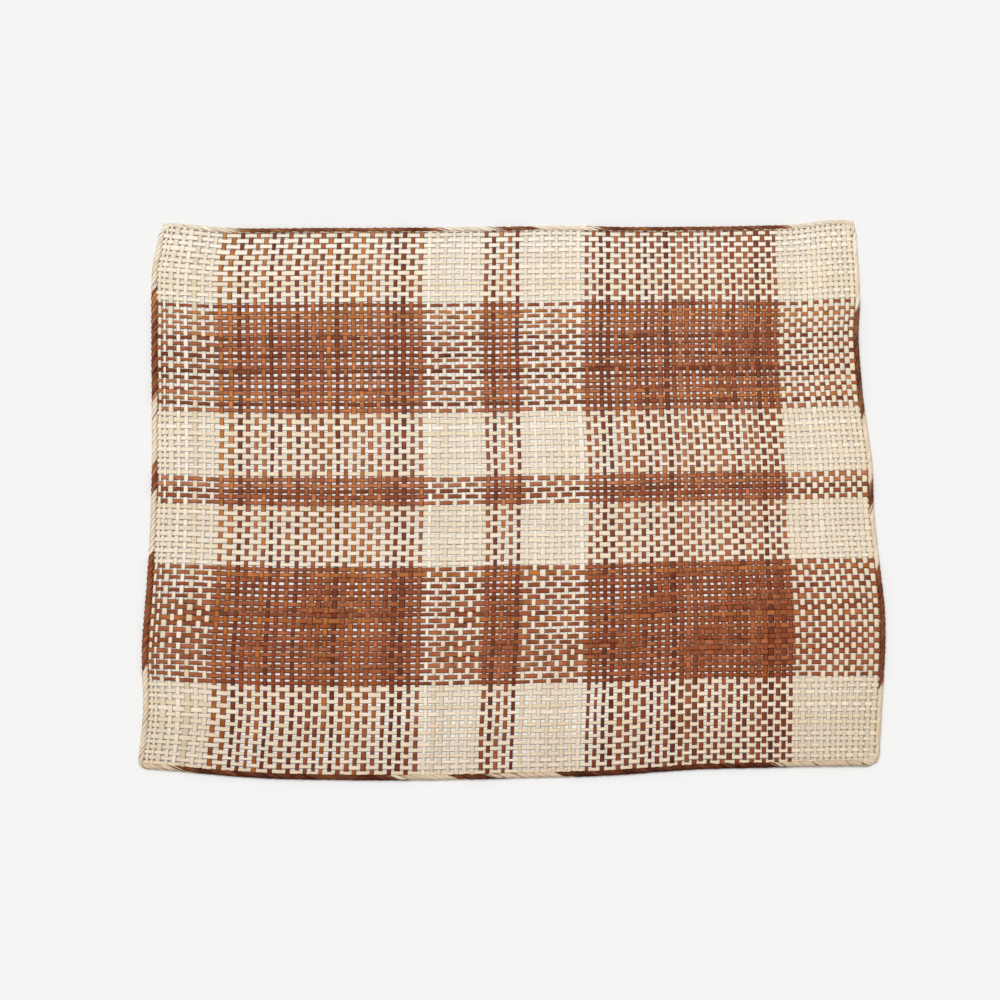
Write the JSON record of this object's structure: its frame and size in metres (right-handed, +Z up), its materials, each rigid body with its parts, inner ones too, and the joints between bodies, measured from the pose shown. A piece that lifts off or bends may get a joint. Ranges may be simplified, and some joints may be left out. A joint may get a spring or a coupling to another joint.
{
  "type": "woven straw placemat",
  "caption": "Flat rectangular placemat of plain-woven flat straw strips in natural and rust-brown check, with uneven sides and a raised plaited rim.",
  "frame": {"origin": "on the table, under the middle of the mat's box", "axes": "+X along the long side, +Y along the short side, +Z up from the table"},
  "size_m": [0.4674, 0.3652, 0.0027],
  "materials": {
    "straw_natural": "dry pale straw strips with a faint sheen, in plain weave",
    "straw_brown": "rust-brown dyed straw strips with a faint sheen, in plain weave"
  },
  "bodies": {
    "root": {"mat": "straw_natural"}
  },
  "joints": []
}
